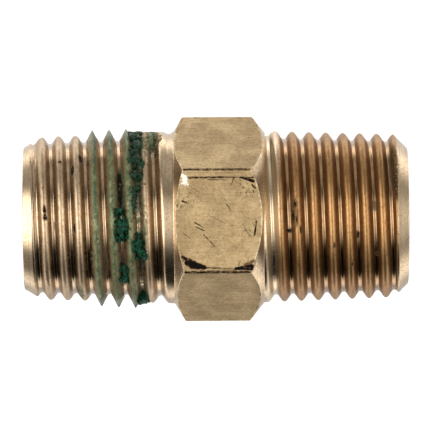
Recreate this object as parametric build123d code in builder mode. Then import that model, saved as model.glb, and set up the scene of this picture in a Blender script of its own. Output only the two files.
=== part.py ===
from build123d import *
import os
from math import atan, cos, degrees, radians, sqrt, tan

# Hex nipple: one brass piece with a tapered R 1/4 male thread at each end, and old
# thread sealant dried on the left thread. The axis of the threads and of the bore lies
# along +X through the origin, midway between the end faces. One hexagon flat faces +Z
# and the opposite one faces -Z, which is the face that the nipple lies on.

# ---- overall sizes, millimetres ----
length = 30.30
bore_diameter = 8.0
bore_chamfer = 0.4

# ---- hexagon ----
across_flats = 14.0
hex_offset_y = -0.16  # the bar ran slightly off centre when the threads were turned
hex_left = -3.29  # where the left corner chamfer meets the neck
hex_right = 3.78
left_chamfer_angle = 30.5  # from the hexagon's end plane
right_chamfer_angle = 38.3
neck_radius = 6.78

# ---- threads: 19 turns per inch, 55 degree form, taper 1:16 on the diameter ----
pitch = 25.4 / 19
flank_angle = 27.5
taper = 1 / 16
end_crest_diameter = 12.86  # the crest cone's diameter at an end face
thread_depth = 0.60  # the crests are worn, so this is less than the new form's depth
cutter_overrun = 0.14  # how far the cutting profile stands out of the crest cone
left_turns = 9.5  # of full depth groove, from past the left end
right_turns = 9.65  # and from past the right end
runout_turns = 0.5  # over which the groove rises out of the metal, beside the neck
left_phase = -10.393  # X of one left groove where it crosses the +Y side
right_phase = 9.404  # the same for one right groove
lead_in_turns = 5  # from those grooves out to where the cutting starts
phase_turn = 4  # the left turn, counted from the end, that is next to left_phase

# ---- end chamfers, angle from the axis ----
left_end_diameter = 11.2
left_end_angle = 30
right_end_diameter = 10.7
right_end_angle = 45

# ---- stock that the chamfers remove ----
blank_overrun = 2.0  # of each plain tapered end past its end face
outside_margin = 1.0  # of the turning cones past the hexagon's corners

# ---- dried sealant ----
seat_gap = 0.03  # between a deposit and the brass
ridge_height = 0.25
ridge_base = 0.26
ridge_tip = 0.08
fill_drop = 0.03  # from the crests down to the top of a filled groove
# Crest ridges: turn counted from the left end, first and last angle from +Y towards +Z.
ridges = {
    "sealant_ridge_turn_4": (4, -70, 215),
    "sealant_ridge_turn_5": (5, -95, 205),
    "sealant_ridge_turn_6": (6, -80, 195),
}
# Groove deposits: groove counted from the one at left_phase, first and last angle.
fills = {
    "sealant_bridge_top": (4, -14, 24),
    "sealant_lump_upper": (3, -6, 66),
    "sealant_streak": (3, 70, 86),
    "sealant_lump_middle": (2, 81, 100),
    "sealant_lump_lower": (3, 101, 119),
    "sealant_dab_low": (2, 127, 139),
    "sealant_dab_edge": (3, 154, 186),
}

# ---- worked out ----
half_length = length / 2
across_corners = across_flats * 2 / sqrt(3)
cone_angle = degrees(atan(taper / 2))
space_width = pitch / 2 + thread_depth * tan(radians(flank_angle))  # at the crests
root_width = pitch / 2 - thread_depth * tan(radians(flank_angle))


def crest_radius(x):
    """Radius of the crest cone at x, on either thread and past either end."""
    return end_crest_diameter / 2 + (half_length - abs(x)) * taper / 2


def helix_arc(x_start, turns, radius, slope_angle, heading, start_angle):
    """Right-hand helix about the X axis, heading +1 or -1 along it. start_angle is
    counted from the +Y side towards +Z."""
    slant_pitch = pitch / cos(radians(slope_angle))
    axial = turns * pitch
    arc = Edge.make_helix(
        slant_pitch, axial, radius, (x_start, 0, 0), (heading, 0, 0), slope_angle
    )
    natural_start = 90 if heading > 0 else 270
    return arc.rotate(Axis.X, start_angle - natural_start)


def radial_plane(path):
    """Plane across a helix at its start, with local X pointing away from the axis."""
    start = path @ 0
    outward = Vector(0, start.Y, start.Z).normalized()
    return Plane(origin=start, x_dir=outward, z_dir=path % 0)


def trapezoid(bottom, inner_width, top, outer_width):
    """Corners of a symmetric profile that runs from bottom to top along local X."""
    return [
        (bottom, -inner_width / 2),
        (top, -outer_width / 2),
        (top, outer_width / 2),
        (bottom, inner_width / 2),
    ]


def blank_outline(side, hex_face):
    """Corners of one plain tapered end's half profile, above the X axis. It runs past
    the end face, and the end chamfer cuts it back once it is threaded."""
    x_end = side * (half_length + blank_overrun)
    return [
        (x_end, 0),
        (x_end, crest_radius(x_end)),
        (hex_face, crest_radius(hex_face)),
        (hex_face, 0),
    ]


def is_bore_mouth(edge):
    """Whether a circular edge is where the bore meets an end face."""
    return abs(edge.radius - bore_diameter / 2) < 1e-4


# ---------------------------------------------------------------- brass nipple
overrun_depth = thread_depth + cutter_overrun
groove_top_width = space_width + 2 * cutter_overrun * tan(radians(flank_angle))
groove_profile = trapezoid(0, root_width, overrun_depth, groove_top_width)
runout_slope = degrees(atan((overrun_depth + cutter_overrun) / (runout_turns * pitch)))
left_start = left_phase + (1 / 4 - lead_in_turns) * pitch  # it crosses the +Z side here
right_start = right_phase + (3 / 4 + lead_in_turns) * pitch  # and this one the -Z side
envelope_radius = across_corners / 2 + outside_margin
cone_reach = envelope_radius - neck_radius
left_run = cone_reach * tan(radians(left_chamfer_angle))
right_run = cone_reach * tan(radians(right_chamfer_angle))
left_end_run = (envelope_radius - left_end_diameter / 2) / tan(radians(left_end_angle))
right_end_run = (envelope_radius - right_end_diameter / 2) / tan(radians(right_end_angle))

with BuildPart() as hexagon:
    # The corners are turned off by one cone on each side.
    with BuildSketch(Plane.YZ.offset(hex_left)):
        with Locations((hex_offset_y, 0)):
            RegularPolygon(across_flats / 2, 6, major_radius=False)
    extrude(amount=hex_right - hex_left)
    with BuildSketch(Plane.XY):
        with BuildLine():
            Polyline(
                (hex_left, 0),
                (hex_left, neck_radius),
                (hex_left + left_run, neck_radius + cone_reach),
                (hex_right - right_run, neck_radius + cone_reach),
                (hex_right, neck_radius),
                (hex_right, 0),
                close=True,
            )
        make_face()
    revolve(axis=Axis.X, mode=Mode.INTERSECT)

with BuildPart() as nipple_body:
    # Both tapered ends, as plain cones first.
    for outline in (blank_outline(-1, hex_left), blank_outline(1, hex_right)):
        with BuildSketch(Plane.XY):
            with BuildLine():
                Polyline(*outline, close=True)
            make_face()
        revolve(axis=Axis.X)
    # Thread grooves, cut from past each end towards the hexagon, where they run out.
    for x_start, heading, start_angle, full_turns in (
        (left_start, 1, 90, left_turns),
        (right_start, -1, 270, right_turns),
    ):
        start_radius = crest_radius(x_start) - thread_depth
        x_runout = x_start + heading * full_turns * pitch
        runout_radius = crest_radius(x_runout) - thread_depth
        runout_start = start_angle + heading * full_turns * 360
        for path in (
            helix_arc(x_start, full_turns, start_radius, cone_angle, heading, start_angle),
            helix_arc(x_runout, runout_turns, runout_radius, runout_slope, heading, runout_start),
        ):
            with BuildSketch(radial_plane(path)):
                with BuildLine():
                    Polyline(*groove_profile, close=True)
                make_face()
            sweep(path=path, is_frenet=True, mode=Mode.SUBTRACT)
    # End faces and end chamfers.
    with BuildSketch(Plane.XY):
        with BuildLine():
            Polyline(
                (-half_length, 0),
                (-half_length, left_end_diameter / 2),
                (-half_length + left_end_run, envelope_radius),
                (half_length - right_end_run, envelope_radius),
                (half_length, right_end_diameter / 2),
                (half_length, 0),
                close=True,
            )
        make_face()
    revolve(axis=Axis.X, mode=Mode.INTERSECT)
    add(hexagon.part)
    # Flow bore, open at both ends.
    with BuildSketch(Plane.YZ.offset(-half_length)):
        Circle(bore_diameter / 2)
    extrude(amount=length, mode=Mode.SUBTRACT)
    mouths = edges().filter_by(GeomType.CIRCLE).filter_by(is_bore_mouth)
    chamfer(mouths, bore_chamfer)

nipple_body.part.label = "nipple_body"

# ---------------------------------------------------------------- dried sealant
ridge_profile = trapezoid(seat_gap, ridge_base, seat_gap + ridge_height, ridge_tip)
fill_depth = thread_depth - fill_drop
fill_root_width = root_width - 2 * seat_gap
fill_top_width = fill_root_width + 2 * (fill_depth - seat_gap) * tan(radians(flank_angle))
fill_profile = trapezoid(seat_gap, fill_root_width, fill_depth, fill_top_width)

deposits = []
for name, (turn, first_angle, last_angle) in ridges.items():
    x_first = left_phase + (turn - phase_turn + 1 / 2 + first_angle / 360) * pitch
    deposits.append((name, ridge_profile, x_first, crest_radius(x_first), first_angle, last_angle))
for name, (groove, first_angle, last_angle) in fills.items():
    x_first = left_phase + (groove + first_angle / 360) * pitch
    root_radius = crest_radius(x_first) - thread_depth
    deposits.append((name, fill_profile, x_first, root_radius, first_angle, last_angle))

os.makedirs("parts", exist_ok=True)
export_step(nipple_body.part, "parts/nipple_body.step")
for name, profile, x_first, radius, first_angle, last_angle in deposits:
    turns = (last_angle - first_angle) / 360
    path = helix_arc(x_first, turns, radius, cone_angle, 1, first_angle)
    with BuildPart() as deposit:
        with BuildSketch(radial_plane(path)):
            with BuildLine():
                Polyline(*profile, close=True)
            make_face()
        sweep(path=path, is_frenet=True)
    deposit.part.label = name
    export_step(deposit.part, f"parts/{name}.step")
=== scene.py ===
from math import cos, pi, radians, sin, tan

import bmesh
import bpy
import numpy as np
from mathutils import Matrix, Vector, noise


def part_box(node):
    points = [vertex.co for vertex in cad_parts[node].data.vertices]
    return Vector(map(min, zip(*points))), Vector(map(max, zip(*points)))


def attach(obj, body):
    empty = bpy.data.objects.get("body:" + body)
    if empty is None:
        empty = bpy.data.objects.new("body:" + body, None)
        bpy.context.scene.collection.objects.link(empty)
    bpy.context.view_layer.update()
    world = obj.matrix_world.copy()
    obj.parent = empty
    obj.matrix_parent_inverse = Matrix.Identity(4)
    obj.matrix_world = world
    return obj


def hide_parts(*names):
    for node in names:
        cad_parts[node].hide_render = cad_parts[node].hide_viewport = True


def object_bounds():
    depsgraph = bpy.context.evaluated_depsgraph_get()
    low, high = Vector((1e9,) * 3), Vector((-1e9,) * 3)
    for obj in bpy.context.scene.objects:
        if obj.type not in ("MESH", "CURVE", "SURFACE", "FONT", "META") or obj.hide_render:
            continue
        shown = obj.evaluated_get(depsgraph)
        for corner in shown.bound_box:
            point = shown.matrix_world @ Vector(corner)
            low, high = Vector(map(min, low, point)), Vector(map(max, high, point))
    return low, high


# Brass hex nipple with old thread sealant on its left thread. Lengths here are in
# millimetres along X, which is the axis, and radii about it; an angle is a number of
# turns from the +Y side towards +Z. Meshes are turned into metres when they are made.

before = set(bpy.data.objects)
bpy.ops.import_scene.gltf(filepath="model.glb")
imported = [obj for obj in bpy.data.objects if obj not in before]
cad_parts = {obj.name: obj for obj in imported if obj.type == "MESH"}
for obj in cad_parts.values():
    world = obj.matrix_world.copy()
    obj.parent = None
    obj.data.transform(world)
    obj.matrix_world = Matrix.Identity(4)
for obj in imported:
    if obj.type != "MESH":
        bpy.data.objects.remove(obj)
cad_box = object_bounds()

MM = 0.001
BODY_LOW, BODY_HIGH = (Vector(corner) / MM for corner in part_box("nipple_body"))
HALF_LENGTH = BODY_HIGH.x
FLAT_RADIUS = BODY_HIGH.z
HEX_CENTRE_Y = (BODY_LOW.y + BODY_HIGH.y) / 2

# ---- threads, hexagon and ends, as on the solid ----
PITCH = 25.4 / 19
FLANK = tan(radians(27.5))
TAPER = 1 / 16
DEPTH = 0.60
END_CREST = 6.43
PHASE = {-1: -10.393, 1: 9.404}
RUNOUT_FROM = {-1: 4.75, 1: -3.9}
RUNOUT_TURNS = 0.5
RUNOUT_RISE = 0.88
ROOT_WIDTH = PITCH / 2 - DEPTH * FLANK
NECK = 6.78
HEX_FOOT = {-1: -3.29, 1: 3.78}
HEX_CHAMFER = {-1: tan(radians(30.5)), 1: tan(radians(38.3))}
END_RADIUS = {-1: 5.60, 1: 5.35}
END_SLOPE = {-1: tan(radians(30)), 1: tan(radians(45))}
BORE = 4.0
MOUTH = 0.4
RING = {-1: -3.39, 1: 3.89}  # where the helical rows give way to the hexagon's rings

# ---- worn edges: the width over which two surfaces blend ----
ROOT_ROUNDING = 0.28
CREST_ROUNDING = 0.40
END_ROUNDING = 0.05
HEX_CORNER_ROUNDING = 0.07
HEX_CHAMFER_ROUNDING = 0.06
HEX_FOOT_ROUNDING = 0.05
RIGHT_WEAR = 0.15  # of the right thread, where the left thread's first turns have 1
WEAR_DEPTH = 0.03
KNOCKED_WIDTH = 0.35  # of the band along the hexagon's edges that is nicked

# ---- the brass mesh ----
COLUMNS = 216
CORNER_CLUSTER = 0.6  # how far the columns are drawn towards the hexagon's corners
SNAP = 0.015  # a row this near to its block's edge is cut square
FOOT_INSET = 0.015  # of the hexagon's outermost rings, into its corner cones
RIM = 0.045  # from the last row of a thread to the end face

# ---- the sealant ----
SHANK_RADIUS = 6.6  # of the left thread, where a deposit needs only one value
CRUST_STEP = 0.11  # between the points of a deposit, round the thread
CRUST_DEPTH = 0.07  # from the brass, or the crust's top, down to its underside
RIDGE_HALF_WIDTH = 0.56
RIDGE_SLOPE = 0.50
RIDGE_LIMIT = 6.985  # a ridge stays just below the planes of the hexagon's flats


# ---------------------------------------------------------------- shapes
def smooth_min(a, b, width):
    """The lower of two values, rounded where they are within width of each other."""
    overlap = np.maximum(width - np.abs(a - b), 0) / width
    return np.minimum(a, b) - overlap * overlap * width / 4


def smooth_max(a, b, width):
    """The higher of two values, rounded the same way."""
    return -smooth_min(-a, -b, width)


def smooth_step(low, high, value):
    """0 at low and before it, 1 at high and past it, eased between them."""
    t = np.clip((value - low) / (high - low), 0, 1)
    return t * t * (3 - 2 * t)


def rough(x, turn, radius, scale, seed):
    """Perlin noise on the surface, one value per point, about -1 to 1."""
    x, turn, radius = np.broadcast_arrays(x, turn, radius)
    flat = zip(x.ravel(), turn.ravel(), radius.ravel())
    found = [
        noise.noise(
            Vector((px, r * cos(2 * pi * t), r * sin(2 * pi * t))) * scale
            + Vector((seed, -seed, 2.3 * seed))
        )
        for px, t, r in flat
    ]
    return np.array(found).reshape(x.shape) * 1.6


def groove_place(side, x, turn):
    """Which groove is nearest, how far its centre is, and how far along the helix."""
    s = (x - PHASE[side]) / PITCH - turn
    nearest = np.round(s)
    return nearest, (s - nearest) * PITCH, nearest + turn


def crest_cone(x):
    """Radius of the cone through the crests, at x."""
    return END_CREST + (HALF_LENGTH - np.abs(x)) * TAPER / 2


def wear(side, x, turn):
    """1 on the first three turns of the left thread, which were screwed in and out."""
    if side > 0:
        return RIGHT_WEAR + 0 * x
    s = (x - PHASE[side]) / PITCH - turn
    return 1 - smooth_step(-0.15, 0.15, s)


def shank_radius(side, x, turn):
    """Radius of one threaded end, its chamfer and its neck."""
    nearest, offset, along = groove_place(side, x, turn)
    rise = side * (RUNOUT_FROM[side] - along) / RUNOUT_TURNS * RUNOUT_RISE
    crest = crest_cone(x)
    root = crest - DEPTH + np.maximum(rise, 0)
    flank = root + (np.abs(offset) - ROOT_WIDTH / 2) / FLANK
    groove = smooth_max(root, flank, ROOT_ROUNDING)
    worn = wear(side, x, turn)
    slow = np.sin(2 * pi * (3 * turn + 0.37 * nearest))
    ripple = 0.5 + 0.5 * slow * np.sin(2 * pi * (7 * turn + 0.61 * nearest))
    top = crest - worn * (WEAR_DEPTH + WEAR_DEPTH * ripple)
    radius = smooth_min(groove, top, CREST_ROUNDING)
    end = END_RADIUS[side] + (HALF_LENGTH - side * x) * END_SLOPE[side]
    return smooth_min(radius, end, END_ROUNDING)


def hex_outline(angle):
    """Rounded hexagon about its own centre: distance at that angle, in radians."""
    reach = [
        FLAT_RADIUS / np.maximum(np.cos(angle - radians(30 + 60 * n)), 0.2)
        for n in range(6)
    ]
    nearest, second = np.sort(np.array(reach), axis=0)[:2]
    return smooth_min(nearest, second, HEX_CORNER_ROUNDING)


def hex_columns():
    """Turn and distance from the axis of each column of the hexagon's outline."""
    sector = np.arange(COLUMNS) / COLUMNS * 6
    t = sector % 1
    warped = np.floor(sector) + t - CORNER_CLUSTER / (2 * pi) * np.sin(2 * pi * t)
    angle = warped * pi / 3
    reach = hex_outline(angle)
    y = HEX_CENTRE_Y + reach * np.cos(angle)
    z = reach * np.sin(angle)
    return (np.arctan2(z, y) / (2 * pi)) % 1, np.hypot(y, z)


def corner_cone(x):
    """Radius of the cones that take off the hexagon's corners, at x."""
    return np.minimum(
        NECK + (x - HEX_FOOT[-1]) / HEX_CHAMFER[-1],
        NECK + (HEX_FOOT[1] - x) / HEX_CHAMFER[1],
    )


TURN, HEX_RADIUS = hex_columns()
TURN[0] = 0


def pitch_rows():
    """Offsets from a groove's centre, closer together on the rounded edges."""
    half = [0.07, 0.12, 0.175, 0.26, 0.35, 0.44, 0.50, 0.55, 0.60]
    return [-d for d in reversed(half)] + [0] + half + [PITCH / 2]


def helical_block(side):
    """Rows that follow the thread, cut off square at the end and at the hexagon."""
    outer = side * (HALF_LENGTH - RIM)
    low, high = sorted((outer, RING[side]))
    offsets = pitch_rows()
    first = int(np.floor((low - PHASE[side]) / PITCH)) - 2
    last = int(np.ceil((high - PHASE[side]) / PITCH)) + 1
    rows = [k * PITCH + d for k in range(first, last) for d in offsets]
    x = PHASE[side] + np.array(rows)[:, None] + PITCH * TURN[None, :]
    x = np.where(x < low + SNAP, low, x)
    x = np.where(x > high - SNAP, high, x)
    radius = shank_radius(side, x, np.broadcast_to(TURN, x.shape))
    per_turn = len(offsets)
    faces = []
    for i in range(len(rows) - 1):
        for j in range(COLUMNS):
            if j < COLUMNS - 1:
                right, upper = i * COLUMNS + j + 1, (i + 1) * COLUMNS + j + 1
            elif i + 1 + per_turn < len(rows):
                right = (i + per_turn) * COLUMNS
                upper = (i + 1 + per_turn) * COLUMNS
            else:
                continue
            faces.append((i * COLUMNS + j, (i + 1) * COLUMNS + j, upper, right))
    return x, radius, faces


def ring_faces(rows, offset):
    """Faces between rings of COLUMNS points, the first of which is number offset."""
    faces = []
    for i in range(rows - 1):
        here = offset + i * COLUMNS
        above = here + COLUMNS
        for j in range(COLUMNS):
            k = (j + 1) % COLUMNS
            faces.append((here + j, above + j, above + k, here + k))
    return faces


def hex_block():
    """Rings from one neck over the corner chamfers and the flats to the other."""
    chamfer_end = {
        side: HEX_FOOT[side] - side * (HEX_RADIUS - NECK) * HEX_CHAMFER[side]
        for side in (-1, 1)
    }
    left_foot = HEX_FOOT[-1] + FOOT_INSET
    right_foot = HEX_FOOT[1] - FOOT_INSET
    rows = [np.full(COLUMNS, left_foot - d) for d in (0.065, 0.03, 0)]
    rows.insert(0, np.full(COLUMNS, RING[-1]))
    for t in (0.15, 0.35, 0.6, 0.82):
        rows.append(left_foot + t * (chamfer_end[-1] - left_foot))
    rows += [chamfer_end[-1] + d for d in (-0.035, -0.012, 0.012, 0.035, 0.07)]
    middle = chamfer_end[1] - chamfer_end[-1] - 0.14
    for t in np.linspace(0, 1, 30)[1:-1]:
        rows.append(chamfer_end[-1] + 0.07 + t * middle)
    rows += [chamfer_end[1] + d for d in (-0.07, -0.035, -0.012, 0.012, 0.035)]
    for t in (0.82, 0.6, 0.35, 0.15):
        rows.append(right_foot + t * (chamfer_end[1] - right_foot))
    rows += [np.full(COLUMNS, right_foot + d) for d in (0, 0.03, 0.065)]
    rows.append(np.full(COLUMNS, RING[1]))
    x = np.array(rows)
    outline = np.broadcast_to(HEX_RADIUS, x.shape)
    nut = smooth_min(outline, corner_cone(x), HEX_CHAMFER_ROUNDING)
    turn = np.broadcast_to(TURN, x.shape)
    shank = np.where(x < 0, shank_radius(-1, x, turn), shank_radius(1, x, turn))
    shank = np.where(np.abs(x) < 3, 0, shank)
    radius = smooth_max(nut, shank, HEX_FOOT_ROUNDING)
    return x, radius


def ends_and_bore():
    """Rings from the right rim over its end face, through the bore, to the left rim."""
    rows = []
    for side in (1, -1):
        rim = shank_radius(side, side * (HALF_LENGTH - RIM) + 0 * TURN, TURN)
        face = [
            (HALF_LENGTH - RIM, rim),
            (HALF_LENGTH - 0.02, rim - 0.02),
            (HALF_LENGTH - 0.005, rim - 0.045),
            (HALF_LENGTH, rim - 0.075),
        ]
        flat = END_RADIUS[side] - BORE - MOUTH
        for t in (0.3, 0.55, 0.8):
            face.append((HALF_LENGTH, END_RADIUS[side] - t * flat))
        mouth = ((0, 0.04), (0.015, 0.0), (0.2, -0.2), (0.385, -0.39), (0.42, -0.4))
        for back, out in mouth:
            face.append((HALF_LENGTH - back, BORE + MOUTH + out))
        face = [(side * x, r + 0 * TURN) for x, r in face]
        rows += face if side > 0 else face[::-1]
        if side > 0:
            rows += [(x, BORE + 0 * TURN) for x in np.linspace(13, -13, 11)]
    x = np.array([np.full(COLUMNS, x) for x, _ in rows])
    return x, np.array([r for _, r in rows])


def to_mesh(name, x, radius, turn, faces):
    """Closed mesh in metres from cylindrical coordinates in millimetres."""
    points = np.stack(
        [x, radius * np.cos(2 * pi * turn), radius * np.sin(2 * pi * turn)], axis=-1
    ).reshape(-1, 3) * MM
    mesh = bpy.data.meshes.new(name)
    mesh.from_pydata(points.tolist(), [], faces)
    bm = bmesh.new()
    bm.from_mesh(mesh)
    bmesh.ops.remove_doubles(bm, verts=bm.verts, dist=1e-7)
    loose = [v for v in bm.verts if not v.link_faces]
    bmesh.ops.delete(bm, geom=loose, context="VERTS")
    bmesh.ops.recalc_face_normals(bm, faces=bm.faces)
    for face in bm.faces:
        face.smooth = True
    bm.to_mesh(mesh)
    bm.free()
    mesh.update()
    return mesh


def place(name, mesh, material, node):
    """Add a piece that stands in for one of the solids."""
    piece = bpy.data.objects.new(name, mesh)
    bpy.context.scene.collection.objects.link(piece)
    mesh.materials.append(material)
    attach(piece, "root")
    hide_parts(node)


def cylindrical(mesh):
    """x, radius and turn of every vertex, in millimetres."""
    co = np.zeros(len(mesh.vertices) * 3)
    mesh.vertices.foreach_get("co", co)
    co = co.reshape(-1, 3) / MM
    turn = (np.arctan2(co[:, 2], co[:, 1]) / (2 * pi)) % 1
    return co[:, 0], np.hypot(co[:, 1], co[:, 2]), turn


def set_attribute(mesh, name, values):
    """Store one number per vertex for the materials."""
    attribute = mesh.attributes.new(name, "FLOAT", "POINT")
    attribute.data.foreach_set("value", np.asarray(values, np.float32))


# ---------------------------------------------------------------- material nodes
class Tree:
    """Short forms for building a node tree."""

    def __init__(self, tree):
        self.tree = tree

    def add(self, kind, inputs=None, **properties):
        node = self.tree.nodes.new(kind)
        for key, value in properties.items():
            setattr(node, key, value)
        for key, value in (inputs or {}).items():
            if isinstance(value, bpy.types.NodeSocket):
                self.tree.links.new(value, node.inputs[key])
            else:
                node.inputs[key].default_value = value
        return node

    def math(self, operation, a, b=0.0, c=0.0, clamp=False):
        return self.add(
            "ShaderNodeMath", {0: a, 1: b, 2: c}, operation=operation, use_clamp=clamp
        ).outputs[0]

    def vector(self, operation, a, b=(0, 0, 0), output=0):
        node = self.add("ShaderNodeVectorMath", {0: a, 1: b}, operation=operation)
        return node.outputs[output]

    def scaled(self, a, factor):
        return self.add(
            "ShaderNodeVectorMath", {0: a, "Scale": factor}, operation="SCALE"
        ).outputs[0]

    def noise(self, vector, scale, detail=3.0, roughness=0.6, distortion=0.0):
        return self.add(
            "ShaderNodeTexNoise",
            {
                "Vector": vector,
                "Scale": scale,
                "Detail": detail,
                "Roughness": roughness,
                "Distortion": distortion,
            },
        ).outputs[0]

    def ramp(self, value, low, high, to_low=0.0, to_high=1.0):
        """to_low where value is at low, to_high where it is at high, eased between."""
        return self.add(
            "ShaderNodeMapRange",
            {0: value, 1: low, 2: high, 3: to_low, 4: to_high},
            interpolation_type="SMOOTHSTEP",
        ).outputs[0]

    def mix(self, factor, a, b, blend="MIX"):
        """Blend of two colours, each a socket or its red, green and blue."""
        node = self.add("ShaderNodeMix", data_type="RGBA", blend_type=blend)
        for key, value in ((0, factor), (6, a), (7, b)):
            if isinstance(value, bpy.types.NodeSocket):
                self.tree.links.new(value, node.inputs[key])
            else:
                node.inputs[key].default_value = value if key == 0 else (*value, 1)
        return node.outputs[2]

    def between(self, factor, a, b):
        """The number a where factor is 0, and b where it is 1."""
        return self.add(
            "ShaderNodeMix", {0: factor, 2: a, 3: b}, data_type="FLOAT"
        ).outputs[0]

    def link(self, value, node, name):
        self.tree.links.new(value, node.inputs[name])

    def bump(self, shader, height, strength, depth):
        """Relief of a material, with depth in millimetres."""
        settings = {"Strength": strength, "Distance": depth * MM, "Height": height}
        self.link(self.add("ShaderNodeBump", settings).outputs[0], shader, "Normal")

    def attribute(self, name):
        return self.add("ShaderNodeAttribute", attribute_name=name).outputs["Fac"]

    def position(self):
        """Object coordinates in millimetres."""
        return self.scaled(self.add("ShaderNodeTexCoord").outputs["Object"], 1 / MM)


def new_material(name):
    material = bpy.data.materials.new(name)
    material.use_nodes = True
    return material, Tree(material.node_tree), material.node_tree.nodes["Principled BSDF"]


# Marks on the front flat, millimetres on that face: from, to, width at each end, strength. The
# long lines at y 3.2, 3.85 and -4.17 are painted shade: under the top band and along the top
# and bottom edges.
FRONT_MARKS_AND_SHADE = [
    ((-2.20, 3.22), (0.60, 3.24), 0.075, 0.060, 0.95),
    ((0.60, 3.24), (2.95, 3.20), 0.035, 0.060, 0.85),
    ((-0.60, 3.08), (0.80, 3.02), 0.035, 0.020, 0.70),
    ((-2.45, 3.86), (2.62, 3.84), 0.080, 0.080, 0.80),
    ((-2.35, 3.62), (1.90, 3.60), 0.022, 0.018, 0.40),
    ((1.95, 3.22), (2.95, 2.92), 0.050, 0.100, 1.70),
    ((1.42, 3.20), (1.22, 2.66), 0.045, 0.020, 0.80),
    ((1.45, 3.05), (1.85, 2.70), 0.022, 0.012, 0.60),
    ((2.86, 2.62), (3.06, 2.42), 0.070, 0.090, 1.00),
    ((2.92, 2.20), (2.98, 1.98), 0.050, 0.030, 0.90),
    ((-2.66, -2.98), (-1.75, -3.42), 0.10, 0.18, 1.10),
    ((-2.20, -3.42), (-0.95, -3.78), 0.20, 0.13, 2.40),
    ((-1.90, -3.62), (-1.10, -3.82), 0.20, 0.12, 2.40),
    ((-1.05, -3.80), (0.35, -3.86), 0.060, 0.035, 0.90),
    ((0.35, -3.88), (1.50, -3.90), 0.030, 0.050, 0.70),
    ((-0.70, -4.02), (1.60, -4.02), 0.022, 0.030, 0.60),
    ((1.50, -3.90), (2.72, -3.80), 0.08, 0.20, 1.90),
    ((2.20, -3.62), (2.92, -3.30), 0.10, 0.14, 0.62),
    ((1.75, -3.62), (1.85, -3.30), 0.10, 0.05, 0.45),
    ((-2.40, -4.16), (2.60, -4.18), 0.085, 0.085, 1.00),
    ((-1.62, -0.28), (-1.00, -0.66), 0.045, 0.020, 0.95),
    ((-1.55, -0.62), (-0.92, -0.92), 0.030, 0.040, 0.90),
    ((-0.92, -1.28), (-0.52, -1.68), 0.070, 0.030, 0.95),
    ((-0.45, -1.78), (-0.12, -2.15), 0.045, 0.020, 0.85),
    ((-2.45, -1.20), (-1.95, -1.52), 0.035, 0.015, 0.75),
    ((0.86, 1.10), (1.20, 0.62), 0.040, 0.016, 0.75),
    ((-2.62, 1.40), (-2.25, 1.30), 0.060, 0.050, 0.85),
    ((-2.70, 1.05), (-2.74, 0.80), 0.040, 0.025, 0.80),
    ((-1.95, 2.50), (-1.20, 2.02), 0.020, 0.014, 0.55),
    ((0.30, 2.20), (0.86, 1.30), 0.014, 0.016, 0.45),
    ((-0.60, 0.30), (0.75, -0.36), 0.014, 0.024, 0.45),
    ((2.10, -0.40), (2.42, -1.00), 0.020, 0.030, 0.60),
    ((3.16, -0.20), (3.02, -1.25), 0.050, 0.075, 0.95),
    ((2.00, -1.60), (2.12, -2.30), 0.018, 0.014, 0.45),
]


MARK_TRACE = 1e-4  # millimetres, too little to see


def front_marks_and_shade(tree, position):
    """Dark scratches, gouges and bruised edges of the flat that faces +Z, and painted shade
    lines under its top band and along its top and bottom edges.
    """
    flat = tree.vector("MULTIPLY", position, (1, 1, 0))
    wobble = tree.add(
        "ShaderNodeTexNoise", {"Vector": flat, "Scale": 4.0, "Detail": 2.0}
    ).outputs["Color"]
    shift = tree.vector("SUBTRACT", wobble, (0.5, 0.5, 0.5))
    flat = tree.vector("ADD", flat, tree.vector("MULTIPLY", shift, (0.05, 0.09, 0)))
    total = None
    for start, end, width_start, width_end, strength in FRONT_MARKS_AND_SHADE:
        span = Vector((end[0] - start[0], end[1] - start[1], 0))
        # A trace of the marks so far is added, because a shader can hold only so many
        # values at once, and this makes it finish one mark before it starts the next.
        here = flat
        if total is not None:
            here = tree.vector("ADD", flat, tree.math("MULTIPLY", total, MARK_TRACE))
        away = tree.vector("SUBTRACT", here, (*start, 0))
        along = tree.vector("DOT_PRODUCT", away, span, output=1)
        along = tree.math("DIVIDE", along, span.length_squared, clamp=True)
        nearest = tree.scaled(tuple(span), along)
        distance = tree.vector("LENGTH", tree.vector("SUBTRACT", away, nearest), output=1)
        width = tree.math("MULTIPLY_ADD", along, width_end - width_start, width_start)
        inside = tree.math("SUBTRACT", 1.6, tree.math("DIVIDE", distance, width), clamp=True)
        mark = tree.math("MULTIPLY", inside, strength)
        total = mark if total is None else tree.math("MAXIMUM", total, mark)
    depth = tree.add("ShaderNodeSeparateXYZ", {0: position}).outputs[2]
    return tree.math("MULTIPLY", total, tree.ramp(depth, 6.80, 6.92))


# Colours of the brass: linear red, green and blue.
FLAT_LIGHT, FLAT_DARK = (0.50, 0.37, 0.195), (0.385, 0.28, 0.145)
TURNED = (0.52, 0.395, 0.26)
THREAD_DIRT_AND_SHADE = (0.49, 0.37, 0.245)
TARNISH = (0.25, 0.165, 0.085)
TOOL_DARK, TOOL_LIGHT = (0.26, 0.17, 0.09), (0.64, 0.49, 0.30)
FLANK_DARK = (0.27, 0.155, 0.075)
ROOT_SHADE = (0.44, 0.33, 0.215)
RIGHT_TINT = (0.74, 0.545, 0.33)  # multiplies the right thread's colour
MOTTLE_TINT = (0.52, 0.42, 0.34)
FINE_SCRATCH = (0.16, 0.10, 0.05)
PIT = (0.07, 0.045, 0.025)
STAIN_THIN, STAIN_THICK = (0.09, 0.125, 0.060), (0.012, 0.030, 0.016)
DIRT_AND_SHADE_BLACK = (0.008, 0.005, 0.003)
NICK, BARE_EDGE = (0.06, 0.035, 0.018), (0.80, 0.68, 0.48)
NECK_POLISH = (0.84, 0.70, 0.50)
MARK_AND_SHADE_EDGE, MARK_AND_SHADE_BLACK = (0.13, 0.08, 0.040), (0.006, 0.004, 0.003)
FLAT_PIT = (0.07, 0.04, 0.02)
CRUSHED = (0.92, 0.87, 0.76)
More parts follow.
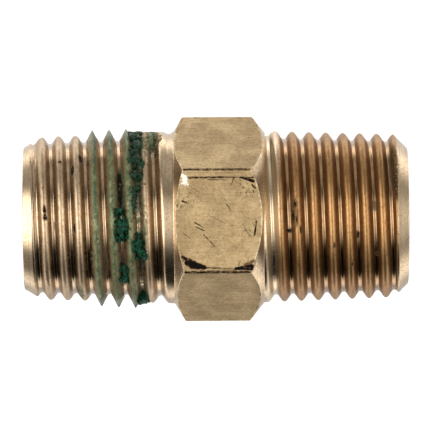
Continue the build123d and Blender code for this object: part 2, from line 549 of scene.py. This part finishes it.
# Pitted areas of the front flat: centre and radius.
PITTED = [((-2.3, 1.7, 7), 1.3), ((2.3, 2.4, 7), 1.3), ((2.7, -1.0, 7), 0.9)]
CRUSHED_CORNER = (-2.40, 3.05, 7)


def brass_material(name, marked_and_shaded):
    """Worn brass; when the second argument is true, also the front flat's scratches and gouges
    and its painted shade lines.
    """
    material, tree, shader = new_material(name)
    position = tree.position()
    turned = tree.attribute("turned")
    groove = tree.attribute("groove")
    grime_and_shade = tree.attribute("grime_and_shade")
    stain = tree.attribute("stain")
    right = tree.attribute("right_end")

    # Tool marks: rings on what was turned, draw lines along the bar on the flats.
    rings = tree.noise(tree.vector("MULTIPLY", position, (5.5, 0.22, 0.22)), 1.0, 4.0, 0.75)
    lines = tree.noise(tree.vector("MULTIPLY", position, (0.45, 9, 9)), 1.0, 4.0, 0.7)
    tool = tree.between(turned, lines, rings)
    patches = tree.noise(position, 0.55, 4.0, 0.6, 0.3)
    speckle = tree.noise(position, 5.5, 3.0, 0.75)
    grain = tree.noise(position, 16.0, 2.0, 0.6)

    colour = tree.mix(tree.ramp(patches, 0.38, 0.60), FLAT_LIGHT, FLAT_DARK)
    colour = tree.mix(turned, colour, TURNED)
    thread = tree.attribute("thread")
    # The threads are a little darker than the other turned brass: partly grime, partly painted
    # shade of their self-shadowing.
    colour = tree.mix(tree.math("MULTIPLY", thread, 0.75), colour, THREAD_DIRT_AND_SHADE)
    colour = tree.mix(tree.ramp(speckle, 0.44, 0.68, 0.0, 0.60), colour, TARNISH)
    colour = tree.mix(tree.ramp(tool, 0.50, 0.70, 0.0, 0.50), colour, TOOL_DARK)
    colour = tree.mix(tree.ramp(tool, 0.50, 0.28, 0.0, 0.30), colour, TOOL_LIGHT)
    flanks = tree.math("MULTIPLY", tree.ramp(groove, 0.15, 0.45), tree.ramp(groove, 0.97, 0.80))
    colour = tree.mix(tree.math("MULTIPLY", flanks, 0.55), colour, FLANK_DARK)
    # Painted shade: the thread roots get a darker colour, standing for the shade the flanks
    # throw into them.
    root = tree.ramp(groove, 0.80, 0.98)
    colour = tree.mix(tree.math("MULTIPLY", root, 0.6), colour, ROOT_SHADE)
    warm = tree.math("MULTIPLY", right, thread)
    warm = tree.math("MULTIPLY", warm, tree.ramp(root, 0, 1, 0.95, 0.6))
    colour = tree.mix(warm, colour, RIGHT_TINT, "MULTIPLY")
    mottle = tree.noise(tree.vector("MULTIPLY", position, (3.6, 1.5, 1.5)), 1.0, 6.0, 0.85)
    mottle = tree.math("MULTIPLY", thread, tree.ramp(mottle, 0.48, 0.64, 0.0, 0.62))
    colour = tree.mix(mottle, colour, MOTTLE_TINT, "MULTIPLY")
    # Short fine scratches, in two directions across the flats.
    for angle, seed in ((0.5, 3.0), (-0.9, 8.0)):
        turned_round = tree.add(
            "ShaderNodeVectorRotate", {"Vector": position, "Axis": (0, 0.3, 1), "Angle": angle}
        ).outputs[0]
        long_way = tree.vector("MULTIPLY", turned_round, (0.8, 14, 14))
        long_way = tree.vector("ADD", long_way, (seed, seed, seed))
        fine = tree.ramp(tree.noise(long_way, 1.0, 2.0, 0.5), 0.66, 0.74, 0.0, 0.55)
        colour = tree.mix(fine, colour, FINE_SCRATCH)
    pits = tree.math("MULTIPLY", tree.ramp(speckle, 0.68, 0.76), tree.ramp(patches, 0.42, 0.6))
    colour = tree.mix(tree.math("MULTIPLY", pits, 0.8), colour, PIT)

    # Green stain near the sealant, then dirt and painted groove shade, then the marks and
    # painted edge shade on the front flat.
    blotches = tree.noise(position, 2.6, 4.0, 0.7)
    stained = tree.math("MULTIPLY", stain, tree.ramp(blotches, 0.36, 0.56), clamp=True)
    green = tree.mix(tree.ramp(speckle, 0.38, 0.58), STAIN_THIN, STAIN_THICK)
    colour = tree.mix(stained, colour, green)
    patchy = tree.ramp(tree.noise(position, 4.2, 4.0, 0.75), 0.36, 0.46)
    # Dirt, and painted shade where the long groove strips lie.
    dirty_and_shaded = tree.math("MULTIPLY", grime_and_shade, patchy, clamp=True)
    colour = tree.mix(dirty_and_shaded, colour, DIRT_AND_SHADE_BLACK)
    # Knocked edges of the hexagon: dark nicks and bare bright metal.
    edge = tree.attribute("edge")
    chips = tree.noise(tree.vector("ADD", position, (9, 4, 2)), 1.4, 5.0, 0.8)
    nicks = tree.math("MULTIPLY", tree.ramp(edge, 0.15, 0.8), tree.ramp(chips, 0.55, 0.64))
    bright = tree.math("MULTIPLY", tree.ramp(edge, 0.45, 0.95), tree.ramp(chips, 0.50, 0.40))
    colour = tree.mix(tree.math("MULTIPLY", nicks, 0.85), colour, NICK)
    colour = tree.mix(tree.math("MULTIPLY", bright, 0.6), colour, BARE_EDGE)
    right_neck = tree.attribute("right_neck")
    colour = tree.mix(tree.math("MULTIPLY", right_neck, 0.5), colour, NECK_POLISH)
    covered = tree.math("MAXIMUM", stained, dirty_and_shaded)
    if marked_and_shaded:
        # The marks include painted shade lines under the flat's top band and along its top and
        # bottom edges.
        marks_and_shade = front_marks_and_shade(tree, position)
        gaps = tree.ramp(tree.noise(position, 3.5, 4.0, 0.8), 0.34, 0.56, 0.30, 1.0)
        broken = tree.math("MULTIPLY", marks_and_shade, gaps, clamp=True)
        colour = tree.mix(tree.ramp(broken, 0.05, 0.60), colour, MARK_AND_SHADE_EDGE)
        colour = tree.mix(tree.ramp(broken, 0.45, 1.0), colour, MARK_AND_SHADE_BLACK)
        covered = tree.math("MAXIMUM", covered, broken)
        # Pitting inside the corners of the flat.
        specks = tree.ramp(tree.noise(position, 4.5, 4.0, 0.8), 0.53, 0.60, 0.0, 0.85)
        zone = None
        for centre, size in PITTED:
            away = tree.vector("DISTANCE", position, centre, output=1)
            soft = tree.ramp(away, size, 0.3 * size)
            zone = soft if zone is None else tree.math("MAXIMUM", zone, soft)
        colour = tree.mix(tree.math("MULTIPLY", zone, specks), colour, FLAT_PIT)
        # The corner that a spanner slipped on is crushed bright.
        shifted = tree.vector("SUBTRACT", position, CRUSHED_CORNER)
        shifted = tree.vector("MULTIPLY", shifted, (3.0, 1.6, 1))
        ragged = tree.math("MULTIPLY_ADD", tree.noise(position, 3.0, 4.0, 0.8), 3.2, -1.6)
        reach = tree.math("ADD", tree.vector("LENGTH", shifted, output=1), ragged)
        crushed = tree.ramp(reach, 0.95, 0.55, 0.0, 0.85)
        colour = tree.mix(crushed, colour, CRUSHED)
    tree.link(colour, shader, "Base Color")
    metal = tree.math("SUBTRACT", 1.0, tree.math("MULTIPLY", covered, 0.9), clamp=True)
    tree.link(metal, shader, "Metallic")

    # The flats are dull and what was turned is bright, with duller crests on the left
    # thread, a duller right thread, and smooth roots in both.
    satin = tree.between(turned, 0.60, 0.26)
    dull = tree.math("MAXIMUM", right, tree.ramp(groove, 0.80, 0.30))
    dull = tree.math("MULTIPLY", thread, dull)
    satin = tree.math("MULTIPLY_ADD", dull, 0.16, satin)
    satin = tree.math("MULTIPLY_ADD", tree.math("MULTIPLY", root, dull), -0.18, satin)
    satin = tree.math("MULTIPLY_ADD", root, -0.14, satin)
    satin = tree.math("MULTIPLY_ADD", right_neck, 0.12, satin)
    uneven = tree.math("MULTIPLY_ADD", tree.math("SUBTRACT", patches, 0.5), 0.25, satin)
    uneven = tree.math("MULTIPLY_ADD", tree.math("SUBTRACT", speckle, 0.5), 0.25, uneven)
    uneven = tree.math("MULTIPLY_ADD", covered, 0.3, uneven, clamp=True)
    tree.link(uneven, shader, "Roughness")

    # Relief: tool marks and grain, least in the roots, and the gouges.
    height = tree.math("MULTIPLY_ADD", tool, 0.9, tree.math("MULTIPLY", speckle, 0.6))
    height = tree.math("MULTIPLY_ADD", grain, 0.25, height)
    height = tree.math("MULTIPLY", height, tree.math("MULTIPLY_ADD", root, -0.80, 1.0))
    height = tree.math("MULTIPLY", height, tree.math("MULTIPLY_ADD", turned, -0.50, 1.0))
    if marked_and_shaded:
        height = tree.math("MULTIPLY_ADD", marks_and_shade, -2.5, height)
    shader.inputs["Specular IOR Level"].default_value = 0.05
    tree.bump(shader, height, 0.55, 0.012)
    return material


# Colours of the sealant.
FILM_LIGHT, FILM_DARK = (0.165, 0.180, 0.085), (0.060, 0.085, 0.035)
FILM_SPOT, FILM_DUST = (0.014, 0.028, 0.012), (0.32, 0.32, 0.20)
FILM_BRASS = (0.30, 0.205, 0.11)
FILM_TIP, FILM_PAINTED_SHADE = (0.27, 0.32, 0.30), (0.008, 0.016, 0.012)
PASTE = (0.0006, 0.005, 0.003), (0.003, 0.058, 0.025)
PASTE_THIN = (0.006, 0.012, 0.006), (0.014, 0.048, 0.022)
PASTE_GLINT, PASTE_BRASS = (0.025, 0.15, 0.07), (0.26, 0.19, 0.11)


def film_material():
    """Thin dry film: worn to the brass on its flanks, pale on its tips, and painted nearly
    black, as painted shade, on the tips of the right-hand ridges on the -Y side."""
    material, tree, shader = new_material("sealant_film_dry")
    position = tree.position()
    tip = tree.attribute("tip")
    flank = tree.attribute("flank")
    patches = tree.noise(position, 1.3, 4.0, 0.65)
    speckle = tree.noise(position, 5.0, 4.0, 0.75)
    streaks = tree.noise(tree.vector("MULTIPLY", position, (6.0, 0.8, 0.8)), 1.0, 4.0, 0.7)
    colour = tree.mix(tree.ramp(patches, 0.35, 0.62), FILM_LIGHT, FILM_DARK)
    colour = tree.mix(tree.ramp(speckle, 0.50, 0.62, 0.0, 0.75), colour, FILM_SPOT)
    colour = tree.mix(tree.ramp(speckle, 0.44, 0.34, 0.0, 0.6), colour, FILM_DUST)
    bare = tree.math("MULTIPLY", tree.ramp(flank, 0.20, 0.62), tree.ramp(streaks, 0.36, 0.50))
    colour = tree.mix(bare, colour, FILM_BRASS)
    colour = tree.mix(tree.ramp(tip, 0.75, 1.5, 0.0, 0.85), colour, FILM_TIP)
    px, py, _ = tree.add("ShaderNodeSeparateXYZ", {0: position}).outputs
    # Painted shade: the tips of the right-hand ridges on the -Y side are made nearly black.
    painted_shade_tips = tree.math("MULTIPLY", tree.ramp(py, -6.72, -6.92), tree.ramp(px, -9.0, -8.6))
    colour = tree.mix(tree.math("MULTIPLY", painted_shade_tips, 0.92), colour, FILM_PAINTED_SHADE)
    tree.link(colour, shader, "Base Color")
    tree.link(tree.math("MULTIPLY_ADD", bare, 0.6, 0.25), shader, "Metallic")
    tree.link(tree.ramp(speckle, 0.3, 0.7, 0.24, 0.60), shader, "Roughness")
    shader.inputs["Specular IOR Level"].default_value = 0.3
    height = tree.math("MULTIPLY_ADD", patches, 1.0, speckle)
    tree.bump(shader, height, 0.6, 0.02)
    return material


def lump_material(name, thin):
    """Dark glossy paste with painted glints: bright green specks stand for its highlights.
    Where it is thin, brass shows through it in flecks.
    """
    material, tree, shader = new_material(name)
    position = tree.position()
    patches = tree.noise(position, 2.4, 4.0, 0.7)
    speckle = tree.noise(position, 7.0, 3.0, 0.7)
    flecks = tree.noise(tree.vector("MULTIPLY", position, (3.2, 1.4, 1.4)), 1.0, 5.0, 0.8)
    dark, fresh = PASTE_THIN if thin > 0 else PASTE
    colour = tree.mix(tree.ramp(patches, 0.38, 0.62), dark, fresh)
    # Painted glints: bright green specks.
    colour = tree.mix(tree.ramp(speckle, 0.55, 0.66, 0.0, 0.8), colour, PASTE_GLINT)
    bare = tree.ramp(flecks, 0.62 - 0.14 * thin, 0.70 - 0.10 * thin, 0.0, 0.9)
    colour = tree.mix(bare, colour, PASTE_BRASS)
    tree.link(colour, shader, "Base Color")
    tree.link(bare, shader, "Metallic")
    tree.link(tree.ramp(patches, 0.3, 0.7, 0.14, 0.45), shader, "Roughness")
    shader.inputs["Specular IOR Level"].default_value = 0.14
    height = tree.math("MULTIPLY_ADD", patches, 1.5, speckle)
    tree.bump(shader, height, 0.9, 0.11)
    return material


# ---------------------------------------------------------------- brass body
# Dirt on the threads, with painted shade in the three long strips at turn 0.345 to 0.35 in the
# left thread's grooves: x, turn, half length along x, half length round, strength.
DIRT_AND_SHADE = [
    (-13.38, 0.232, 0.14, 0.40, 1.4),
    (-13.34, 0.244, 0.22, 0.16, 1.4),
    (-12.20, 0.128, 0.16, 0.12, 1.2),
    (-11.20, 0.145, 0.14, 0.60, 1.3),
    (-10.60, 0.115, 0.16, 0.55, 1.1),
    (-11.05, 0.268, 0.10, 0.40, 1.2),
    (-11.55, 0.325, 0.14, 0.20, 1.2),
    (-12.60, 0.262, 0.08, 0.50, 0.7),
    (-7.50, 0.188, 0.22, 1.90, 1.05),
    (-5.25, 0.140, 0.16, 0.14, 1.1),
    (-8.72, 0.345, 0.26, 1.50, 0.75),
    (-7.28, 0.350, 0.28, 1.50, 0.85),
    (-5.98, 0.345, 0.24, 1.20, 0.90),
    (5.74, 0.275, 0.24, 0.22, 1.4),
    (6.12, 0.240, 0.40, 1.30, 0.55),
    (6.18, 0.222, 0.14, 0.45, 1.0),
    (6.05, 0.246, 0.13, 0.50, 1.2),
    (6.32, 0.252, 0.10, 0.30, 1.1),
    (6.62, 0.272, 0.14, 0.20, 1.3),
    (6.70, 0.300, 0.10, 0.60, 0.7),
    (11.10, 0.286, 0.14, 0.34, 1.3),
    (10.62, 0.345, 0.14, 0.20, 1.1),
    (9.25, 0.305, 0.13, 0.24, 1.0),
    (12.60, 0.330, 0.14, 0.20, 0.9),
    (12.40, 0.225, 0.30, 0.50, 0.6),
    (13.95, 0.140, 0.42, 2.60, 0.75),
    (14.10, 0.180, 0.20, 1.60, 0.9),
]
# Green stain: x, turn, half length along x, half length round, strength.
STAINS = [
    (-9.40, 0.24, 0.36, 12.0, 0.75),
    (-8.06, 0.24, 0.36, 12.0, 0.80),
    (-6.72, 0.24, 0.42, 12.0, 0.90),
    (-5.60, 0.06, 0.90, 2.60, 0.90),
    (-7.44, 0.190, 0.30, 2.20, 1.60),
    (-6.30, 0.150, 0.40, 2.60, 1.30),
    (-5.90, 0.26, 0.60, 3.20, 0.80),
    (-10.75, 0.43, 0.35, 1.60, 0.80),
    (-5.00, 0.04, 0.50, 1.60, 0.80),
    (-6.20, 0.42, 0.80, 3.00, 0.80),
    (-7.30, 0.375, 0.30, 1.60, 1.10),
]


def spots(table, x, turn, radius):
    """Strength of the nearest listed spots, soft at their edges."""
    total = np.zeros(len(x))
    for centre_x, centre_turn, half_x, half_round, strength in table:
        away_round = ((turn - centre_turn + 0.5) % 1 - 0.5) * 2 * pi * radius
        slant = PITCH * ((turn - centre_turn + 0.5) % 1 - 0.5)
        away_x = x - centre_x - slant
        reach = np.hypot(away_x / half_x, away_round / half_round)
        total = np.maximum(total, strength * (1 - smooth_step(0.6, 1.25, reach)))
    return total


def brass_body(plain, marked_and_shaded):
    """The whole brass piece as one closed mesh, with the material of the marks and painted
    shade lines on the flat that faces +Z."""
    blocks = []
    faces = []
    count = 0
    for side in (-1, 1):
        x, radius, block_faces = helical_block(side)
        blocks.append((x, radius, np.broadcast_to(TURN, x.shape)))
        faces += [tuple(v + count for v in face) for face in block_faces]
        count += x.size
    for x, radius in (hex_block(), ends_and_bore()):
        blocks.append((x, radius, np.broadcast_to(TURN, x.shape)))
        faces += ring_faces(len(x), count)
        count += x.size
    x, radius, turn = (np.concatenate([b[n].ravel() for b in blocks]) for n in range(3))
    mesh = to_mesh("nipple_brass", x, radius, turn, faces)
    mark_surface(mesh)
    place("nipple_brass", mesh, plain, "nipple_body")
    mesh.materials.append(marked_and_shaded)
    for face in mesh.polygons:
        middle = face.center / MM
        if middle.z > FLAT_RADIUS - 0.15 and HEX_FOOT[-1] < middle.x < HEX_FOOT[1]:
            face.material_index = 1


def mark_surface(mesh):
    """Say where the brass was turned, threaded, knocked, dirty and stained, and where shade is
    painted into the left thread's grooves.
    """
    x, radius, turn = cylindrical(mesh)
    outside = radius > BORE + MOUTH + 0.1
    depth = np.zeros(len(x))
    for side in (-1, 1):
        here = (side * x > abs(RING[side])) & outside
        depth[here] = np.clip((crest_cone(x[here]) - radius[here]) / DEPTH, 0, 1)
    ends = np.abs(x) > HALF_LENGTH - 1.0
    depth = np.where(ends, 0, depth)
    y, z = radius * np.cos(2 * pi * turn), radius * np.sin(2 * pi * turn)
    angle = np.arctan2(z, y - HEX_CENTRE_Y)
    in_hex = (x > HEX_FOOT[-1]) & (x < HEX_FOOT[1]) & outside
    on_flat = in_hex & (radius < corner_cone(x) - 0.02)
    set_attribute(mesh, "turned", 1.0 - on_flat)
    set_attribute(mesh, "groove", depth)
    set_attribute(mesh, "right_end", smooth_step(4.7, 5.1, x))
    set_attribute(mesh, "right_neck", smooth_step(3.85, 4.15, x) * smooth_step(5.0, 4.6, x))
    threaded = smooth_step(-4.3, -4.9, x) + smooth_step(4.7, 5.1, x)
    set_attribute(mesh, "thread", threaded * (np.abs(x) < HALF_LENGTH - 0.9) * outside)
    chamfer_end = [
        HEX_FOOT[side] - side * (radius - NECK) * HEX_CHAMFER[side] for side in (-1, 1)
    ]
    from_chamfer = np.minimum(np.abs(x - chamfer_end[0]), np.abs(x - chamfer_end[1]))
    sector = (angle + pi / 3 * 0.5) % (pi / 3) - pi / 3 * 0.5
    from_corner = np.abs(sector) * radius
    edge = 1 - np.minimum(from_chamfer, from_corner) / KNOCKED_WIDTH
    set_attribute(mesh, "edge", np.clip(edge, 0, 1) * on_flat)
    set_attribute(mesh, "grime_and_shade", spots(DIRT_AND_SHADE, x, turn, radius) * (np.abs(x) > 3.5))
    set_attribute(mesh, "stain", spots(STAINS, x, turn, radius) * (x < -4.3))


# ---------------------------------------------------------------- sealant
def deposit(name, node, material, first, last, middle, half_width, outer, steps):
    """Closed crust over part of the left thread. It follows the line x = middle(turn),
    and outer(x, offset, along, angle, body) gives its outer radius, where along runs
    from 0 to 1 between first and last, and body is the brass under it."""
    columns = max(12, int((last - first) * 2 * pi * SHANK_RADIUS / CRUST_STEP))
    along = np.linspace(0, 1, columns)[None, :]
    angle = first + (last - first) * along
    offset = np.linspace(-half_width, half_width, steps)[:, None]
    x = middle(angle) + offset + 0 * angle
    angle = angle + 0 * offset
    turn = angle % 1
    body = shank_radius(-1, x, turn)
    top = outer(x, offset + 0 * angle, along + 0 * offset, angle, body)
    edge = np.zeros(x.shape, bool)
    edge[[0, -1], :] = True
    edge[:, [0, -1]] = True
    top = np.where(edge, np.minimum(top, body - 0.03), np.maximum(top, body - 0.05))
    under = np.minimum(top, body) - CRUST_DEPTH
    total = steps * columns
    faces = []
    for base in (0, total):
        for i in range(steps - 1):
            for j in range(columns - 1):
                a = base + i * columns + j
                faces.append((a, a + 1, a + 1 + columns, a + columns))
    border = [(0, j) for j in range(columns)]
    border += [(i, columns - 1) for i in range(1, steps)]
    border += [(steps - 1, j) for j in range(columns - 2, -1, -1)]
    border += [(i, 0) for i in range(steps - 2, 0, -1)]
    loop = [i * columns + j for i, j in border]
    for a, b in zip(loop, loop[1:] + loop[:1]):
        faces.append((a, b, b + total, a + total))
    both = [np.stack([v, w]) for v, w in ((x, x), (top, under), (turn, turn))]
    mesh = to_mesh(name, both[0], both[1], both[2], faces)
    vx, radius, vturn = cylindrical(mesh)
    set_attribute(mesh, "tip", np.clip((radius - crest_cone(vx)) / 0.30, 0, 2))
    away = np.abs(((vx - middle(vturn)) / PITCH + 0.5) % 1 - 0.5) * PITCH
    set_attribute(mesh, "flank", np.clip(away / half_width, 0, 1))
    place(name, mesh, material, node)


def peak_radius(angle, upper, lower, middle):
    """How far a ridge's tip stands out: most at the +Y and -Y sides."""
    facing = np.cos(2 * pi * angle)
    side = np.where(facing > 0, upper, lower)
    return middle + (side - middle) * np.abs(facing) ** 4


def ridge(turn_number, first, last, upper, lower, across, seed, material):
    """Film along a crest. Its tip is at radius upper on the +Y side, lower on the -Y
    side and across between them."""

    def middle(angle):
        return PHASE[-1] + (turn_number - 3.5 + angle) * PITCH

    def outer(x, offset, along, angle, body):
        bumps = rough(x, angle, SHANK_RADIUS, 1.1, seed)
        fine = rough(x, angle, SHANK_RADIUS, 3.7, seed + 5)
        tip = peak_radius(angle, upper, lower, across) + 0.035 * bumps + 0.02 * fine
        fade = smooth_step(0, 0.06, along) * smooth_step(1, 0.94, along)
        lean = 0.03 * bumps
        slope = np.sqrt((offset - lean) ** 2 + 0.02**2) / RIDGE_SLOPE
        crown = tip - 0.30 * (1 - fade) - slope
        skin = body + 0.030 + 0.022 * fine + 0.018 * bumps
        border = 0.40 + 0.13 * bumps + 0.08 * fine
        past_border = smooth_step(-0.03, 0.05, np.abs(offset) - border)
        skin = skin - 0.12 * past_border - 0.08 * (1 - fade)
        outside = smooth_max(crown, skin, 0.03)
        upright = np.maximum(np.abs(np.sin(2 * pi * angle)), 0.5)
        return np.minimum(outside, RIDGE_LIMIT / upright)

    name = f"sealant_ridge_{turn_number}"
    node = f"sealant_ridge_turn_{turn_number}"
    first, last = first / 360, last / 360
    half_width = RIDGE_HALF_WIDTH
    deposit(name, node, material, first, last, middle, half_width, outer, 19)


def lump(name, node, material, slot, groove, first, last, shift, half_width, fill, bulge, seed):
    """Paste lying in a groove and over its edges. It reaches fill times the groove's
    depth at its border, and bulge further at its middle."""

    def middle(angle):
        return PHASE[-1] + (groove + angle) * PITCH + shift

    def outer(x, offset, along, angle, body):
        coarse = rough(x, angle, SHANK_RADIUS, 1.6, seed)
        fine = rough(x, angle, SHANK_RADIUS, 5.5, seed + 3)
        reach = np.sqrt((offset / half_width) ** 2 + (2 * along - 1) ** 4)
        cover = 0.80 - reach + 0.50 * coarse + 0.42 * fine
        level = crest_cone(x) - DEPTH + fill * DEPTH + bulge * np.clip(cover, 0, 1)
        level = level + 0.08 * coarse + 0.05 * fine
        full = smooth_max(level, body + 0.04 + 0.02 * fine, 0.12)
        return body - 0.04 + (full - body + 0.04) * smooth_step(0.02, 0.30, cover)

    first, last = first / 360, last / 360
    deposit(name, node, material, first, last, middle, half_width, outer, 21)


# Ridges: turn counted from the left end, first and last angle in degrees, tip radius at
# the +Y side, at the -Y side and between them, seed.
RIDGES = [
    (4, -70, 215, 7.00, 7.06, 6.74, 1.0),
    (5, -95, 205, 7.05, 7.14, 6.78, 2.0),
    (6, -80, 195, 7.10, 7.18, 6.80, 3.0),
]
# Deposits in the grooves: piece and solid, material, groove counted from the one at
# PHASE[-1], first and last angle, shift along X, half width, fill, bulge, seed.
LUMPS = [
    ("bridge", "bridge_top", "film", 4, -24, 34, -0.05, 0.85, 0.92, 0.08, 4.0),
    ("upper", "lump_upper", "thin", 3, -16, 70, -0.05, 0.74, 0.95, 0.16, 5.0),
    ("streak_piece", "streak", "thin", 3, 62, 90, -0.30, 0.30, 0.75, 0.05, 6.0),
    ("middle", "lump_middle", "glossy", 2, 82, 107, 0.0, 0.56, 0.95, 0.26, 7.0),
    ("lower", "lump_lower", "glossy", 3, 98, 124, 0.0, 0.62, 0.92, 0.22, 8.0),
    ("dab_teal", "dab_low", "glossy", 2, 125, 144, 0.0, 0.46, 0.70, 0.05, 9.0),
    ("dab_dark", "dab_edge", "glossy", 3, 158, 192, 0.0, 0.56, 0.92, 0.14, 10.0),
]


def sealant():
    """All ten deposits."""
    materials = {
        "film": film_material(),
        "glossy": lump_material("sealant_lump_glossy", 0.0),
        "thin": lump_material("sealant_lump_thin", 0.55),
    }
    for row in RIDGES:
        ridge(*row, materials["film"])
    for piece, node, kind, *shape in LUMPS:
        slot = "sealant_film" if kind == "film" else "sealant_lump"
        lump(f"sealant_{piece}", f"sealant_{node}", materials[kind], slot, *shape)


# ---------------------------------------------------------------- stage
FLOOR_HALF_WIDTH = 3.0  # metres


def floor():
    """Plain pale floor under the part, which only the camera sees."""
    z = cad_box[0][2]
    mesh = bpy.data.meshes.new("floor")
    bm = bmesh.new()
    height = Matrix.Translation((0, 0, z))
    bmesh.ops.create_grid(bm, x_segments=4, y_segments=4, size=FLOOR_HALF_WIDTH, matrix=height)
    bm.to_mesh(mesh)
    bm.free()
    material, tree, shader = new_material("floor_white")
    tone = tree.mix(tree.noise(tree.position(), 0.02), (0.86, 0.86, 0.86), (0.90, 0.90, 0.90))
    tree.link(tone, shader, "Base Color")
    shader.inputs["Roughness"].default_value = 0.9
    shader.inputs["Specular IOR Level"].default_value = 0.1
    shader.inputs["Emission Color"].default_value = (1, 1, 1, 1)
    shader.inputs["Emission Strength"].default_value = 0.40
    mesh.materials.append(material)
    piece = bpy.data.objects.new("floor", mesh)
    bpy.context.scene.collection.objects.link(piece)
    # The part is lit from below by the backdrop's tone in studio_light, not by the floor.
    piece.visible_glossy = False
    piece.visible_diffuse = False
    piece.visible_shadow = False


BACKDROP = 1.0  # brightness of the backdrop, as the camera sees it


def studio_light():
    """Wide soft light over the part and brighter panels past its two ends, in a band
    along the axis. The +Y side is dim and the -Y side dark, and the backdrop is pale."""
    world = bpy.data.worlds.new("studio")
    bpy.context.scene.world = world
    world.use_nodes = True
    tree = Tree(world.node_tree)
    background = world.node_tree.nodes["Background"]
    direction = tree.add("ShaderNodeTexCoord").outputs["Generated"]
    split = tree.add("ShaderNodeSeparateXYZ", {0: direction})
    dx, dy, dz = split.outputs
    across = tree.math("SQRT", tree.math("MULTIPLY_ADD", dy, dy, tree.math("MULTIPLY", dz, dz)))
    slant = tree.math("DIVIDE", dy, tree.math("MAXIMUM", across, 1e-4))
    band = tree.math(
        "MULTIPLY", tree.ramp(slant, -0.82, -0.32), tree.ramp(slant, 0.34, 0.60, 1.0, 0.0)
    )
    from_middle = tree.math("ABSOLUTE", dx)
    band = tree.math("MULTIPLY", band, tree.ramp(from_middle, 0.45, 0.80, 0.95, 0.5))
    stripe = tree.math("MULTIPLY", tree.ramp(slant, -0.42, -0.10), tree.ramp(slant, 0.30, 0.05))
    band = tree.math("MULTIPLY_ADD", stripe, 0.50, band)
    panels = None
    for toward, strength in (((-0.87, 0, 0.50), 3.6), ((0.87, 0, 0.50), 2.4)):
        facing = tree.vector("DOT_PRODUCT", direction, toward, output=1)
        panel = tree.ramp(facing, 0.80, 0.93, 0.0, strength)
        panels = panel if panels is None else tree.math("ADD", panels, panel)
    behind = tree.ramp(dy, 0.40, 1.0, 0.07, 0.72)
    behind = tree.math("MULTIPLY", behind, tree.ramp(dy, -0.25, 0.10, 0.1, 1.0))
    above = tree.math("ADD", band, tree.math("ADD", panels, behind))
    side = tree.ramp(dy, -0.4, 0.8, 0.02, 0.60)
    low = tree.ramp(dz, -0.22, -0.50, 0.0, 1.95)
    low = tree.math("MULTIPLY", low, tree.ramp(dz, -0.58, -0.80, 1.0, 0.35))
    below = tree.math("ADD", side, low)
    lit = tree.between(tree.ramp(dz, -0.03, 0.03), below, above)
    ends = tree.ramp(from_middle, 0.50, 0.75, 0.0, 0.36)
    lit = tree.math("MULTIPLY_ADD", ends, tree.ramp(dy, 0.10, -0.30), lit)
    seen = tree.add("ShaderNodeLightPath").outputs["Is Camera Ray"]
    strength = tree.between(seen, lit, BACKDROP)
    tree.link(strength, background, "Strength")
    background.inputs["Color"].default_value = (1.0, 0.99, 0.975, 1)


def camera():
    """Square to the axis from above, from 1.15 degrees towards +Y, turned so that the
    axis rises slightly to the right."""
    distance = 0.514
    tilt = radians(1.15)
    roll = radians(0.45)
    away = Vector((0, sin(tilt), cos(tilt)))
    up = Vector((0, cos(tilt), -sin(tilt)))
    across = Vector((1, 0, 0))
    image_right = across * cos(roll) - up * sin(roll)
    image_up = across * sin(roll) + up * cos(roll)
    target = Vector((0.127, -0.04, 0)) * MM
    data = bpy.data.cameras.new("camera")
    data.sensor_width = 36  # this and the lens are millimetres of the camera
    data.lens = 538
    eye = bpy.data.objects.new("camera", data)
    bpy.context.scene.collection.objects.link(eye)
    turn = Matrix((image_right, image_up, away)).transposed()
    eye.matrix_world = Matrix.Translation(target + away * distance) @ turn.to_4x4()
    bpy.context.scene.camera = eye


bpy.context.scene.view_settings.view_transform = "Standard"
brass_body(brass_material("brass_worn", False), brass_material("brass_gouged_and_shaded", True))
sealant()
floor()
studio_light()
camera()

bpy.context.view_layer.update()
